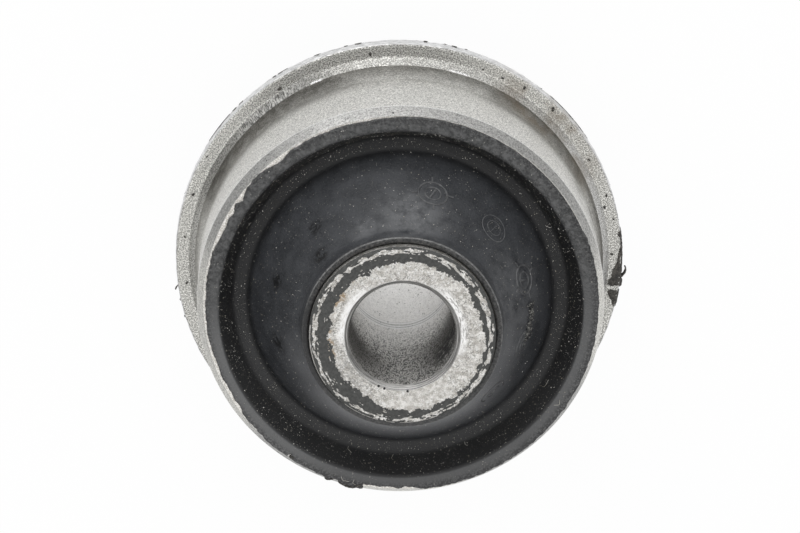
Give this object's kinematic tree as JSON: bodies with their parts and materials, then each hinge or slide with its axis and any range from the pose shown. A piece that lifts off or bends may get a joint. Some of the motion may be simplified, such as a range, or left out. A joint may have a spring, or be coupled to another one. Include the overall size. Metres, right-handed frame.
{
  "type": "control arm bushing",
  "caption": "Bonded control arm bushing: a flanged steel outer sleeve, a coned rubber body with a lip, and a thick inner sleeve with a bolt hole through it.",
  "frame": {"origin": "on the axis of the bolt hole, at the rear end face of the inner sleeve, on which the part stands", "axes": "+Z along the bolt hole from the flange's end to the coned front end; X and Y are free, because the part is round"},
  "size_m": [0.0622, 0.0622, 0.046],
  "materials": {
    "outer_sleeve": "blasted, dull grey",
    "rubber_body": "satin, dusty",
    "inner_sleeve": "dull, with a flaked film on the end"
  },
  "bodies": {
    "root": {"outer_sleeve": "outer_sleeve", "rubber_body": "rubber_body", "inner_sleeve": "inner_sleeve"}
  },
  "joints": []
}
